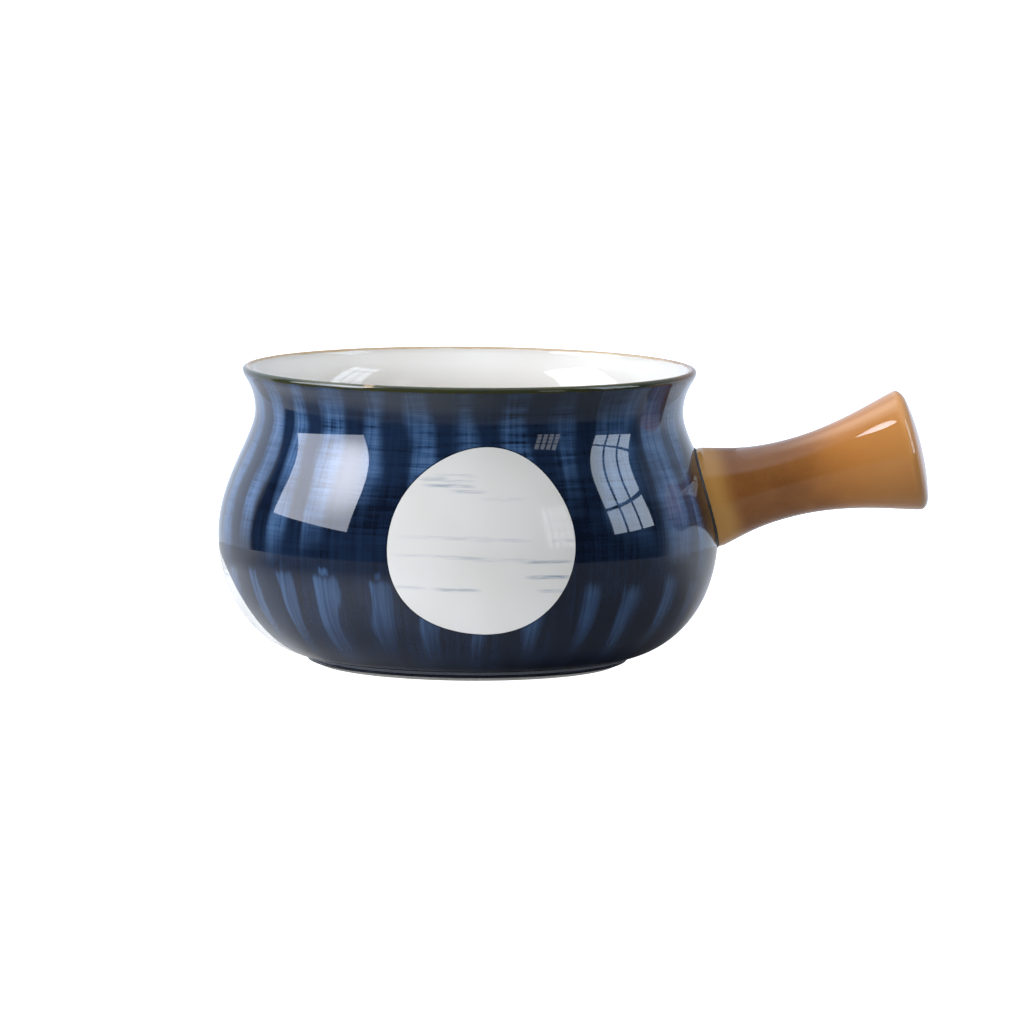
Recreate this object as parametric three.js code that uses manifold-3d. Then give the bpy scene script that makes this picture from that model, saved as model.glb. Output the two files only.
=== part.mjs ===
// Soup bowl with a straight handle: a stoneware body, a handle luted to its wall and the coats of glaze
// fired onto both. Millimetres, +Z up. The foot stands on z = 0 and the handle points along +X.
// Outlines are lines of points (radius, height) that are turned about an axis.
import * as THREE from 'three';
import { mergeVertices } from 'three/addons/utils/BufferGeometryUtils.js';
import Module from 'manifold-3d';

const wasm = await Module();
wasm.setup();

// Bowl, measured over the glaze
const rimHeight = 83.0;
const lipRadius = 63.5;
const lipThickness = 2.4;
const lipFlare = 20.6; // degrees that the wall leans out where it meets the rounded lip
const neckRadius = 59.9;
const neckHeight = 70.6;
const bellyRadius = 70.0;
const bellyHeight = 36.4;
const wallThickness = 4.6;
const baseThickness = 5.4;
const floorRadius = 36.0; // flat middle of the inside

// How far each stretch of the wall's curve runs on before it bends
const lipPull = 2.0;
const neckOverShare = 4 / 7; // of the height from the neck to the middle of the lip's round
const neckUnderPull = 7.3;
const bellyOverPull = 14.6;
const bellyUnderPull = 17.7;
const footPull = 15.1;
const footPullRise = 9.1; // degrees that the underside climbs where it leaves the foot
const floorPull = 17.0;

// Foot ring
const footRadius = 44.8;
const footHeight = 2.55;
const footWidth = 7.0;
const footTaper = 2.6; // how far the outside draws in from the band's groove to the table
const footChamfer = 0.5; // on the inner edge
const footBandLow = 1.15; // the band of glaze lies in a groove between these heights
const footBandHigh = 1.85;
const footBareLine = 0.4; // unglazed step between the foot and the blue coat
const recessDepth = 2.0;

// Handle, measured over the glaze, with distances along its own axis from the bowl's wall
const handleRootHeight = 47.15;
const handleRise = 13.9; // degrees
const handleRootRadius = 14.1;
const handleWaistRadius = 10.75;
const handleWaistAt = 22.0;
const handleEndRadius = 17.05;
const handleLength = 55.9;
const handleEndRound = 2.9;
const handleEndDome = 1.45;
const rootPull = 6.0;
const rootFlare = 12.3; // degrees that the root opens towards the wall
const waistRootPull = 11.6;
const waistEndPull = 15.4;
const endPull = 4.9;
const endFlare = 11.0; // degrees that the end opens
const domePull = 4.55;
const domeSlope = 13.3; // degrees between the dome's edge and a flat end
const rootBury = 6.0; // blank left inside the wall, then cut away to seat on it
const boreRootRadius = 8.0;
const boreEndRadius = 5.8;
const boreDepth = 42.0;
const ventRadius = 1.5;
const ventAt = 15.0;

// Glaze, slip and the clearances between neighbours
const glazeThickness = 0.6;
const glazeGap = 0.2;
const slipThickness = 1.0;
const fitGap = 0.3;
const rimBandSpread = 65.0; // degrees of the lip's round that the brown band covers on each side of the crest

// White dots left in the blue coat, each a round cut aimed straight at the bowl's axis
const frontDotAzimuth = -86.4; // degrees round the bowl from the handle
const frontDotHeight = 40.6;
const frontDotRadius = 25.5;
const leftDotAzimuth = -176.3;
const leftDotHeight = 10.0;
const leftDotRadius = 22.0;
const backDotAzimuth = 72.0;
const backDotHeight = 30.0;
const backDotRadius = 25.5;

// Facets
const bowlSegments = 40;
const handleSegments = 24;
const dotSegments = 36;
const ventSegments = 10;
const bellySteps = 5;
const neckSteps = 5;
const lipSteps = 2;
const lipRoundSteps = 2;
const rimSteps = 4;
const floorSteps = 4;
const rootSteps = 4;
const flareSteps = 4;
const endSteps = 2;
const domeSteps = 2;

const dots = [
  { name: 'dot_front', azimuth: frontDotAzimuth, height: frontDotHeight, radius: frontDotRadius },
  { name: 'dot_left', azimuth: leftDotAzimuth, height: leftDotHeight, radius: leftDotRadius },
  { name: 'dot_back', azimuth: backDotAzimuth, height: backDotHeight, radius: backDotRadius },
];

const glazeDepth = glazeThickness + glazeGap;
const degrees = THREE.MathUtils.degToRad;
const at = (radius, height) => new THREE.Vector2(radius, height);

// Steps from a point by a length, in a direction given in degrees
function reach(point, length, angle) {
  return at(point.x + length * Math.cos(degrees(angle)), point.y + length * Math.sin(degrees(angle)));
}

function curve(start, startControl, endControl, end, steps) {
  return new THREE.CubicBezierCurve(start, startControl, endControl, end).getPoints(steps);
}

function arc(centre, radius, from, to, steps) {
  return new THREE.ArcCurve(centre.x, centre.y, radius, degrees(from), degrees(to), false).getPoints(steps);
}

// Joins runs of points end to end, each shared end kept once
function join(...runs) {
  return runs.flatMap((run, i) => (i === 0 ? run : run.slice(1)));
}

// Draws back both ends of a line along its own first and last stretch
function drawBack(line, startTrim, endTrim) {
  const last = line.length - 1;
  const shift = (from, to, trim) => from.clone().add(to.clone().sub(from).setLength(trim));
  const trimmed = line.slice();
  trimmed[0] = shift(line[0], line[1], startTrim);
  trimmed[last] = shift(line[last], line[last - 1], endTrim);
  return trimmed;
}

// Moves a line sideways with mitred corners, to the right of its direction when the distance is positive.
// A line that ends on the axis carries on as its own mirror image there, so its end stays on the axis.
function offset(line, distance) {
  const last = line.length - 1;
  return line.map((point, i) => {
    const arriving = line[Math.max(i, 1)].clone().sub(line[Math.max(i, 1) - 1]).normalize();
    const leaving = i < last ? line[i + 1].clone().sub(point).normalize() : arriving.clone();
    if (point.x === 0) leaving.y = -arriving.y;
    const along = arriving.clone().add(leaving).normalize();
    const mitre = distance / along.dot(arriving);
    return at(point.x + along.y * mitre, point.y - along.x * mitre);
  });
}

function turned(outline, segments) {
  return new THREE.LatheGeometry(outline, segments).rotateX(Math.PI / 2);
}

// A closed ring of glaze between a surface line and the same line set back under it
function ringOutline(surface, under) {
  return [...under, ...surface.slice().reverse(), under[0]];
}

function toSolid(geometry) {
  geometry.deleteAttribute('normal');
  geometry.deleteAttribute('uv');
  const merged = mergeVertices(geometry);
  const corners = merged.index.array;
  const triangles = [];
  for (let i = 0; i < corners.length; i += 3) {
    const triangle = corners.slice(i, i + 3);
    if (new Set(triangle).size === 3) triangles.push(...triangle);
  }
  return new wasm.Manifold(new wasm.Mesh({
    numProp: 3,
    vertProperties: merged.attributes.position.array,
    triVerts: new Uint32Array(triangles),
  }));
}

function toGeometry(solid) {
  const mesh = solid.getMesh();
  const geometry = new THREE.BufferGeometry();
  geometry.setAttribute('position', new THREE.BufferAttribute(mesh.vertProperties, 3));
  geometry.setIndex(new THREE.BufferAttribute(mesh.triVerts, 1));
  geometry.computeVertexNormals();
  return geometry;
}

// Finished surface of the bowl, from the foot up the outside, over the lip and down to the floor's middle
const lipRound = lipThickness / 2;
const lipCentre = at(lipRadius - lipRound, rimHeight - lipRound);
const neckOverPull = neckOverShare * (lipCentre.y - neckHeight);
const bandStart = 90 - rimBandSpread;
const bandEnd = 90 + rimBandSpread;
const floorHeight = recessDepth + baseThickness;

function outsideLine() {
  const footEdge = at(footRadius + footBareLine, footHeight);
  const belly = at(bellyRadius, bellyHeight);
  const neck = at(neckRadius, neckHeight);
  const lip = reach(lipCentre, lipRound, -lipFlare);
  const footControl = reach(footEdge, footPull, footPullRise);
  const line = join(
    curve(footEdge, footControl, reach(belly, bellyUnderPull, -90), belly, bellySteps),
    curve(belly, reach(belly, bellyOverPull, 90), reach(neck, neckUnderPull, -90), neck, neckSteps),
    curve(neck, reach(neck, neckOverPull, 90), reach(lip, lipPull, -90 - lipFlare), lip, lipSteps),
    arc(lipCentre, lipRound, -lipFlare, bandStart, lipRoundSteps),
  );
  return drawBack(line, 0, fitGap / 2);
}

function rimLine() {
  return drawBack(arc(lipCentre, lipRound, bandStart, bandEnd, rimSteps), fitGap / 2, fitGap / 2);
}

function insideLine() {
  const lip = reach(lipCentre, lipRound, bandEnd);
  const neck = at(neckRadius - wallThickness, neckHeight);
  const belly = at(bellyRadius - wallThickness, bellyHeight);
  const floor = at(floorRadius, floorHeight);
  const line = join(
    curve(lip, reach(lip, lipPull, bandEnd + 90), reach(neck, neckOverPull, 90), neck, lipSteps),
    curve(neck, reach(neck, neckUnderPull, -90), reach(belly, bellyOverPull, 90), belly, neckSteps),
    curve(belly, reach(belly, bellyUnderPull, -90), reach(floor, floorPull, 0), floor, floorSteps),
    [floor, at(0, floorHeight)],
  );
  return drawBack(line, fitGap / 2, 0);
}

const outside = outsideLine();
const rim = rimLine();
const inside = insideLine();
const bowlSurface = [...outside, ...rim, ...inside];
const underGlaze = offset(bowlSurface, -glazeThickness);
const claySurface = offset(bowlSurface, -glazeDepth);
const rimStart = outside.length;
const insideStart = rimStart + rim.length;

// Everything within the bowl's outside, grown from the finished surface, for cutting its neighbours
function bowlBlock(growth) {
  const grown = offset(outside, growth);
  const top = grown[grown.length - 1];
  return toSolid(turned([at(0, grown[0].y), ...grown, at(0, top.y)], bowlSegments));
}

const footInner = footRadius - footWidth;
const grooveRadius = footRadius - glazeDepth;
const grooveLow = footBandLow - glazeGap;
const grooveHigh = footBandHigh + glazeGap;

function bowlBody() {
  const ceiling = recessDepth + glazeDepth;
  const footAndClay = [
    at(0, ceiling),
    at(footInner, ceiling),
    at(footInner, footChamfer),
    at(footInner + footChamfer, 0),
    at(footRadius - footTaper, 0),
    at(footRadius, grooveLow),
    at(grooveRadius, grooveLow),
    at(grooveRadius, grooveHigh),
    at(footRadius, grooveHigh),
    at(footRadius, claySurface[0].y),
    ...claySurface,
  ];
  return turned(footAndClay, bowlSegments);
}

function innerGlaze() {
  const surface = bowlSurface.slice(insideStart);
  const under = underGlaze.slice(insideStart);
  return turned([...under.reverse(), ...surface], bowlSegments);
}

function rimBand() {
  const surface = bowlSurface.slice(rimStart, insideStart);
  const under = underGlaze.slice(rimStart, insideStart);
  return turned(ringOutline(surface, under).reverse(), bowlSegments);
}

function footBand() {
  const surface = [at(footRadius, footBandLow), at(footRadius, footBandHigh)];
  return turned(ringOutline(surface, offset(surface, -glazeThickness)).reverse(), bowlSegments);
}

function baseGlaze() {
  const radius = footInner - fitGap;
  const under = recessDepth + glazeThickness;
  return turned([at(0, recessDepth), at(radius, recessDepth), at(radius, under), at(0, under)], bowlSegments);
}

// Handle in its own frame, turned about +Z, which is then laid along the handle's rise from the wall
function wallRadiusAt(height) {
  const next = outside.findIndex((point) => point.y > height);
  const [below, above] = [outside[next - 1], outside[next]];
  return THREE.MathUtils.mapLinear(height, below.y, above.y, below.x, above.x);
}

const handleRoot = new THREE.Vector3(wallRadiusAt(handleRootHeight), 0, handleRootHeight);
const handleTilt = Math.PI / 2 - degrees(handleRise);
const handlePlace = new THREE.Matrix4().makeRotationY(handleTilt).setPosition(handleRoot);

function handleLine() {
  const buried = at(handleRootRadius, -rootBury);
  const root = at(handleRootRadius, 0);
  const waist = at(handleWaistRadius, handleWaistAt);
  const flare = at(handleEndRadius, handleLength);
  const dome = at(handleEndRadius - handleEndRound, handleLength + handleEndRound);
  const tip = at(0, dome.y + handleEndDome);
  const roundPull = handleEndRound / 2;
  return join(
    [buried, root],
    curve(root, reach(root, rootPull, 90 + rootFlare), reach(waist, waistRootPull, -90), waist, rootSteps),
    curve(waist, reach(waist, waistEndPull, 90), reach(flare, endPull, -90 - endFlare), flare, flareSteps),
    curve(flare, reach(flare, roundPull, 90 - endFlare), reach(dome, roundPull, -domeSlope), dome, endSteps),
    curve(dome, reach(dome, domePull, 180 - domeSlope), at(domePull, tip.y), tip, domeSteps),
  );
}

const handleSurface = handleLine();

function handleBlank(growth) {
  const grown = offset(handleSurface, growth);
  return toSolid(turned([at(0, -rootBury), ...grown], handleSegments).applyMatrix4(handlePlace));
}

function bore() {
  const mouth = at(boreRootRadius, -rootBury);
  const end = at(boreEndRadius, boreDepth);
  const outline = [at(0, mouth.y), mouth, end, at(0, end.y)];
  return toSolid(turned(outline, handleSegments).applyMatrix4(handlePlace));
}

// Hole under the root that lets air out of the hollow handle in the kiln
function vent() {
  const cylinder = new THREE.CylinderGeometry(ventRadius, ventRadius, handleRootRadius, ventSegments);
  cylinder.rotateZ(Math.PI / 2).translate(handleRootRadius / 2, 0, ventAt);
  return toSolid(cylinder.applyMatrix4(handlePlace));
}

// The slip lies on the bare clay, and the handle's root lies on the slip
const slipUnder = fitGap - glazeDepth;
const slipTop = slipUnder + slipThickness;

function handleCore() {
  const hollow = handleBlank(-glazeDepth).subtract(bore()).subtract(vent());
  return toGeometry(hollow.subtract(bowlBlock(slipTop + fitGap)));
}

function handleSlip() {
  const ring = handleBlank(-glazeDepth).subtract(bore());
  return toGeometry(ring.intersect(bowlBlock(slipTop)).subtract(bowlBlock(slipUnder)));
}

function handleGlaze() {
  const coat = handleBlank(0).subtract(handleBlank(-glazeThickness));
  return toGeometry(coat.subtract(vent()).subtract(bowlBlock(fitGap)));
}

// Blue coat with a window for each dot and one for the handle's root
function blueCoat() {
  const surface = bowlSurface.slice(0, rimStart);
  const under = underGlaze.slice(0, rimStart);
  return toSolid(turned(ringOutline(surface, under).reverse(), bowlSegments));
}

function dotCutter(dot, growth) {
  const radius = dot.radius + growth;
  const length = bellyRadius + dot.radius;
  const cylinder = new THREE.CylinderGeometry(radius, radius, length, dotSegments);
  cylinder.rotateZ(Math.PI / 2).translate(length / 2, 0, dot.height);
  return toSolid(cylinder.rotateZ(degrees(dot.azimuth)));
}

function outerGlaze() {
  const windowed = dots.reduce((coat, dot) => coat.subtract(dotCutter(dot, fitGap)), blueCoat());
  return toGeometry(windowed.subtract(handleBlank(fitGap)));
}

function dotGlaze(dot) {
  return toGeometry(blueCoat().intersect(dotCutter(dot, 0)));
}

function piece(name, geometry, color, roughness) {
  const material = new THREE.MeshStandardMaterial({ color, roughness, metalness: 0 });
  const mesh = new THREE.Mesh(geometry, material);
  mesh.name = name;
  return mesh;
}

const clayColor = 0xd8d2c6;
const whiteColor = 0xf1efea;
const blueColor = 0x1b2f5c;
const navyColor = 0x10182c;
const brownColor = 0x6b4a24;
const caramelColor = 0xae7438;
const bareClay = 0.85;
const glossyGlaze = 0.12;

const bowl = new THREE.Group();
bowl.add(
  piece('bowl_body', bowlBody(), clayColor, bareClay),
  piece('inner_glaze', innerGlaze(), whiteColor, glossyGlaze),
  piece('outer_glaze', outerGlaze(), blueColor, glossyGlaze),
  ...dots.map((dot) => piece(dot.name, dotGlaze(dot), whiteColor, glossyGlaze)),
  piece('rim_band', rimBand(), brownColor, glossyGlaze),
  piece('foot_band', footBand(), navyColor, glossyGlaze),
  piece('base_glaze', baseGlaze(), whiteColor, glossyGlaze),
  piece('handle_slip', handleSlip(), clayColor, bareClay),
  piece('handle_core', handleCore(), clayColor, bareClay),
  piece('handle_glaze', handleGlaze(), caramelColor, glossyGlaze),
);

// The origin is under the middle of the whole length, from the belly's far side to the handle's tip
const handleReach = Math.max(...handleSurface.map(
  (point) => point.x * Math.sin(degrees(handleRise)) + point.y * Math.cos(degrees(handleRise)),
));
bowl.position.x = (bellyRadius - handleRoot.x - handleReach) / 2;

const part = new THREE.Group();
part.add(bowl);

export default part;
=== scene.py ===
# Soup bowl with a straight handle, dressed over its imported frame: fine skins of glaze, finishes and studio.
# Shapes are worked out in millimetres round the bowl's own axis, then put down in metres in the frame.
import math
import bpy
import numpy as np
from mathutils import Matrix, Vector
from mathutils.geometry import delaunay_2d_cdt


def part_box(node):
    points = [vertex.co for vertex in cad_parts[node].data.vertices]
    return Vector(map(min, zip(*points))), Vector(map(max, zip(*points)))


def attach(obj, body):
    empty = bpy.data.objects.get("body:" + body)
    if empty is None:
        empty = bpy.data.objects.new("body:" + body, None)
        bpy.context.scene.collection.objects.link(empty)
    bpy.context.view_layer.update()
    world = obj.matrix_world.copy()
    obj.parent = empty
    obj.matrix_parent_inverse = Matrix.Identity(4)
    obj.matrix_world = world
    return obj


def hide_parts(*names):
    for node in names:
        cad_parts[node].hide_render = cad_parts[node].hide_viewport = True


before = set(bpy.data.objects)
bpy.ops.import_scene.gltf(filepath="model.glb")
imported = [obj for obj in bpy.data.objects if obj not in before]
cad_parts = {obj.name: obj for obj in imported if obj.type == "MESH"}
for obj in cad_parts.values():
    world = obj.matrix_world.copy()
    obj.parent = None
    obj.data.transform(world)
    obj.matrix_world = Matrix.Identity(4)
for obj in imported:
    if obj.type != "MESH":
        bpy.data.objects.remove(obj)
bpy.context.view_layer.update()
scene = bpy.context.scene
mm = 0.001
insideLow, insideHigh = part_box("inner_glaze")
bowlAxis = (insideLow.x + insideHigh.x) / 2
print("frame loaded, bowl axis at x =", round(bowlAxis, 5))


# Outlines, as rows of (radius, height)

def spot(radius, height):
    return np.array((radius, height), float)


def reach(point, length, angle):
    turn = math.radians(angle)
    return point + length * spot(math.cos(turn), math.sin(turn))


def bend(start, startPull, endPull, end, steps):
    t = np.linspace(0, 1, steps + 1)[:, None]
    rest = 1 - t
    return rest**3 * start + 3 * rest**2 * t * startPull + 3 * rest * t**2 * endPull + t**3 * end


def circle(turns):
    return np.stack((np.cos(turns), np.sin(turns)), 1)


def wholeTurn(steps):
    return np.linspace(0, 2 * math.pi, steps, endpoint=False)


def roundOff(centre, radius, fromAngle, toAngle, steps):
    return centre + radius * circle(np.radians(np.linspace(fromAngle, toAngle, steps + 1)))


def straight(start, end, steps):
    return start + (end - start) * np.linspace(0, 1, steps + 1)[:, None]


def join(*runs):
    return np.concatenate([runs[0]] + [run[1:] for run in runs[1:]])


def runLength(points):
    return np.concatenate(([0], np.cumsum(np.linalg.norm(np.diff(points, axis=0), axis=1))))


def unit(vectors):
    return vectors / np.maximum(np.linalg.norm(vectors, axis=-1, keepdims=True), 1e-12)


# An outline turned about the bowl's axis. A place on it is the distance round, taken at the girth, and the
# distance along the outline.
class Turning:
    girth = 65.0
    seam = math.radians(130)

    def __init__(self, points):
        self.points = points
        self.run = runLength(points)
        along = unit(np.gradient(points, self.run, axis=0))
        self.facing = np.stack((along[:, 1], -along[:, 0]), 1)

    def radiusAt(self, run):
        return np.interp(run, self.run, self.points[:, 0])

    def heightAt(self, run):
        return np.interp(run, self.run, self.points[:, 1])

    def columns(self, count):
        return np.linspace(self.seam - 2 * math.pi, self.seam, count + 1) * self.girth

    def place(self, places):
        turn = places[:, 0] / self.girth
        run = places[:, 1]
        radius = self.radiusAt(run)
        facing = unit(np.stack([np.interp(run, self.run, self.facing[:, i]) for i in (0, 1)], 1))
        around = circle(turn)
        points = np.column_stack((around * radius[:, None], self.heightAt(run)))
        normals = np.column_stack((around * facing[:, :1], facing[:, 1]))
        return points, normals


# A surface given as a grid of points, with its own smooth facing. Its last column lies on its first.
class Grid:
    def __init__(self, points, across, along, tipFacing):
        self.points, self.across, self.along = points, across, along
        closed = np.concatenate((points[:, -2:-1], points, points[:, 1:2]), 1)
        around = closed[:, 2:] - closed[:, :-2]
        out = np.gradient(points, axis=0)
        self.normals = unit(np.cross(around, out))
        self.normals[-1] = tipFacing

    def place(self, places):
        column = np.interp(places[:, 0], self.across, np.arange(len(self.across)))
        row = np.interp(places[:, 1], self.along, np.arange(len(self.along)))
        left = np.minimum(column.astype(int), len(self.across) - 2)
        low = np.minimum(row.astype(int), len(self.along) - 2)
        side, up = (column - left)[:, None], (row - low)[:, None]

        def between(values):
            near = values[low, left] * (1 - side) + values[low, left + 1] * side
            far = values[low + 1, left] * (1 - side) + values[low + 1, left + 1] * side
            return near * (1 - up) + far * up

        return between(self.points), unit(between(self.normals))


# A closed or cut-off line on a surface, with a test for what lies within it
class Window:
    def __init__(self, edge, closed, within):
        self.edge, self.closed, self.within = edge, closed, within


# Triangles over a surface, cut along its windows. With only, just what lies within that one window is kept.
def drape(surface, columns, rows, windows=(), only=None):
    cutMargin = 0.45  # grid points nearer a cut than this share of the spacing are dropped
    snap = 1e-7
    inside = only is not None
    cuts = [only] if inside else list(windows)
    across, along = np.meshgrid(columns, rows)
    places = np.stack((across.ravel(), along.ravel()), 1)
    margin = cutMargin * min(np.diff(columns).min(), np.diff(rows).min())
    keep = np.full(len(places), True)
    for cut in cuts:
        keep &= cut.within(places, -margin if inside else margin) == inside
    flat = [places[keep]]
    edges = []
    for cut in cuts:
        first = sum(len(part) for part in flat)
        count = len(cut.edge)
        flat.append(cut.edge)
        edges += [(first + i, first + (i + 1) % count) for i in range(count if cut.closed else count - 1)]
    made = delaunay_2d_cdt([Vector(p) for p in np.concatenate(flat)], edges, [], 0, snap, False)
    places = np.array([tuple(p) for p in made[0]])
    triangles = np.array(made[2])
    middles = places[triangles].mean(1)
    keep = np.full(len(triangles), True)
    for cut in cuts:
        keep &= cut.within(middles, 0) == inside
    points, normals = surface.place(places)
    return points, normals, triangles[keep]


# Joins points that fall on one place, such as a seam or a pole, and drops what is left over
def weld(points, normals, triangles, digits=4):
    _, first, shared = np.unique(np.round(points, digits), axis=0, return_index=True, return_inverse=True)
    triangles = shared.reshape(-1)[triangles]
    a, b, c = triangles.T
    triangles = triangles[(a != b) & (b != c) & (c != a)]
    used, compact = np.unique(triangles, return_inverse=True)
    return points[first][used], normals[first][used], compact.reshape(-1, 3)


def stand(name, data):
    thing = bpy.data.objects.new(name, data)
    scene.collection.objects.link(thing)
    return thing


def putDown(name, points, faces, cornerNormals=None):
    mesh = bpy.data.meshes.new(name)
    mesh.from_pydata((points * mm + (bowlAxis, 0, 0)).tolist(), [], faces)
    mesh.polygons.foreach_set("use_smooth", np.ones(len(faces), bool))
    if cornerNormals is not None:
        mesh.normals_split_custom_set(cornerNormals.tolist())
    mesh.update()
    return stand(name, mesh)


# A coat of even thickness under a triangulated surface, closed along its edges
def skin(name, draped, thickness):
    points, normals, triangles = weld(*draped)
    a, b, c = points[triangles].transpose(1, 0, 2)
    wrong = (np.cross(b - a, c - a) * normals[triangles].mean(1)).sum(1) < 0
    triangles[wrong] = triangles[wrong][:, ::-1]
    count = len(points)
    sides = np.concatenate((triangles[:, (0, 1)], triangles[:, (1, 2)], triangles[:, (2, 0)]))
    known = {tuple(side) for side in sides.tolist()}
    border = np.array([side for side in sides.tolist() if (side[1], side[0]) not in known])
    start, end = border.T
    walls = np.stack((start, start + count, end + count, end), 1)
    everyPoint = np.concatenate((points, points - normals * thickness))
    corner, below, _, beside = everyPoint[walls].transpose(1, 0, 2)
    wallFacing = unit(np.cross(below - corner, beside - corner))
    cornerNormals = np.concatenate((
        normals[triangles].reshape(-1, 3),
        -normals[triangles[:, ::-1]].reshape(-1, 3),
        np.repeat(wallFacing, 4, axis=0),
    ))
    faces = triangles.tolist() + (triangles[:, ::-1] + count).tolist() + walls.tolist()
    return putDown(name, everyPoint, faces, cornerNormals)


# A solid turned from a closed outline that starts and ends on the axis
def turnedSolid(name, outline, segments, sharpAngle):
    inner = outline[1:-1]
    count = len(inner)
    around = circle(wholeTurn(segments))[:, None] * inner[:, :1]
    levels = np.broadcast_to(inner[:, 1:], (segments, count, 1))
    rings = np.concatenate((around, levels), 2).reshape(-1, 3)
    poles = np.array(((0, 0, outline[0][1]), (0, 0, outline[-1][1])))
    first, last = len(rings), len(rings) + 1
    faces = []
    for i in range(segments):
        here, there = i * count, (i + 1) % segments * count
        faces += [(here + k, there + k, there + k + 1, here + k + 1) for k in range(count - 1)]
        faces += [(first, there, here), (last, here + count - 1, there + count - 1)]
    piece = putDown(name, np.concatenate((rings, poles)), faces)
    piece.data.set_sharp_from_angle(angle=math.radians(sharpAngle))
    return piece


def dress(piece, material, slot, *nodes):
    piece.data.materials.append(material)
    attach(piece, "root")
    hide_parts(*nodes)


# An operator on sockets, and the same with its sides changed over
def sums(operation):
    def forward(self, other):
        return self.finish.maths(operation, self, other)

    def reflected(self, other):
        return self.finish.maths(operation, other, self)

    return forward, reflected


# A socket that takes part in sums
class Wire:
    __add__, __radd__ = sums("ADD")
    __sub__, __rsub__ = sums("SUBTRACT")
    __mul__, __rmul__ = sums("MULTIPLY")
    __truediv__, __rtruediv__ = sums("DIVIDE")
    __pow__, __rpow__ = sums("POWER")

    def __init__(self, finish, socket):
        self.finish, self.socket = finish, socket

    def __abs__(self):
        return self.finish.maths("ABSOLUTE", self)


# The nodes of a finish, or of the world
class Finish:
    def __init__(self, owner):
        owner.use_nodes = True
        self.owner, self.tree = owner, owner.node_tree

    # Sets or links a node's sockets
    def feed(self, node, sockets):
        for key, value in sockets.items():
            if isinstance(value, Wire):
                self.tree.links.new(value.socket, node.inputs[key])
            else:
                node.inputs[key].default_value = value

    def node(self, kind, settings, sockets, out=0):
        made = self.tree.nodes.new("ShaderNode" + kind)
        for key, value in settings.items():
            setattr(made, key, value)
        self.feed(made, sockets)
        return Wire(self, made.outputs[out])

    def maths(self, operation, *values):
        return self.node("Math", {"operation": operation}, dict(enumerate(values)))

    def vectorMaths(self, operation, first, second, out=0):
        return self.node("VectorMath", {"operation": operation}, {0: first, 1: second}, out)

    def scaled(self, vector, scale):
        return self.node("VectorMath", {"operation": "SCALE"}, {0: vector, "Scale": scale})

    def most(self, first, second):
        return self.maths("MAXIMUM", first, second)

    def ease(self, value, low, high):
        return self.node("MapRange", {"interpolation_type": "SMOOTHSTEP"}, {0: value, 1: low, 2: high})

    def vector(self, x, y, z):
        return self.node("CombineXYZ", {}, {0: x, 1: y, 2: z})

    def parts(self, vector):
        return [self.node("SeparateXYZ", {}, {0: vector}, i) for i in range(3)]

    def noise(self, vector, scale=1.0, detail=2.0, roughness=0.5):
        sockets = {"Vector": vector, "Scale": scale, "Detail": detail, "Roughness": roughness}
        return self.node("TexNoise", {"noise_dimensions": "3D"}, sockets)

    def chance(self, value):
        return self.node("TexWhiteNoise", {"noise_dimensions": "1D"}, {"W": value})

    def tint(self, share, under, over):
        settings = {"data_type": "RGBA", "blend_type": "MIX", "clamp_factor": True}
        return self.node("Mix", settings, {0: share, 6: under, 7: over}, 2)

    # Place in the frame, in metres
    def framePlace(self):
        return self.node("TexCoord", {}, {}, 3)

    # Place in mm from the foot of the bowl's axis, whole and in its three parts
    def bowlPlace(self):
        place = self.scaled(self.vectorMaths("SUBTRACT", self.framePlace(), (bowlAxis, 0, 0)), 1 / mm)
        return place, self.parts(place)

    def paint(self, sockets):
        self.feed(self.tree.nodes["Principled BSDF"], sockets)

    # Colour and roughness over a relief whose depth is in mm
    def glaze(self, colour, roughness, relief, depth):
        normal = self.node("Bump", {}, {"Strength": 1.0, "Distance": depth * mm, "Height": relief})
        self.paint({"Base Color": colour, "Roughness": roughness, "Normal": normal})
        return self.owner


def newFinish(name, ior):
    f = Finish(bpy.data.materials.new(name))
    f.paint({"IOR": ior})
    return f


# A colour given as it looks on a screen, 0 to 255
def shade(red, green, blue):
    def straighten(value):
        value /= 255
        return value / 12.92 if value <= 0.04045 else ((value + 0.055) / 1.055) ** 2.4
    return (straighten(red), straighten(green), straighten(blue), 1.0)


# The bowl's finished surface: up the outside from the foot, over the lip and down to the middle of the floor
bowlShape = {
    "rimHeight": 83.0, "lipRadius": 63.5, "lipThickness": 2.4, "lipFlare": 20.6, "neckRadius": 59.9,
    "neckHeight": 70.6, "bellyRadius": 70.0, "bellyHeight": 36.4, "wallThickness": 4.6, "baseThickness": 5.4,
    "floorRadius": 36.0, "lipPull": 2.0, "neckOverPull": 6.4, "neckUnderPull": 7.3, "bellyOverPull": 14.6,
    "bellyUnderPull": 17.7, "footPull": 15.1, "footPullRise": 9.1, "floorPull": 17.0, "rimBandSpread": 65.0,
    "bellySteps": 160, "neckSteps": 120, "lipSteps": 50, "edgeSteps": 16, "rimSteps": 40, "floorSteps": 60,
    "columns": 240, "rowSpacing": 1.2, "rimSpacing": 0.25, "insideColumns": 180, "insideSpacing": 1.5,
}
footShape = {
    "radius": 44.8, "height": 2.55, "width": 7.0, "taper": 2.6, "chamfer": 0.5, "bandLow": 1.15,
    "bandHigh": 1.85, "bandThickness": 0.33, "bareLine": 0.4, "recessDepth": 2.0, "recessGap": 0.3,
    "softEdge": 0.12, "softSteps": 3, "segments": 240, "recessSegments": 120, "recessSteps": 40,
    "sharpAngle": 35, "clayRows": 4,
}
coatShape = {"thickness": 0.6, "gap": 0.2}


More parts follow.
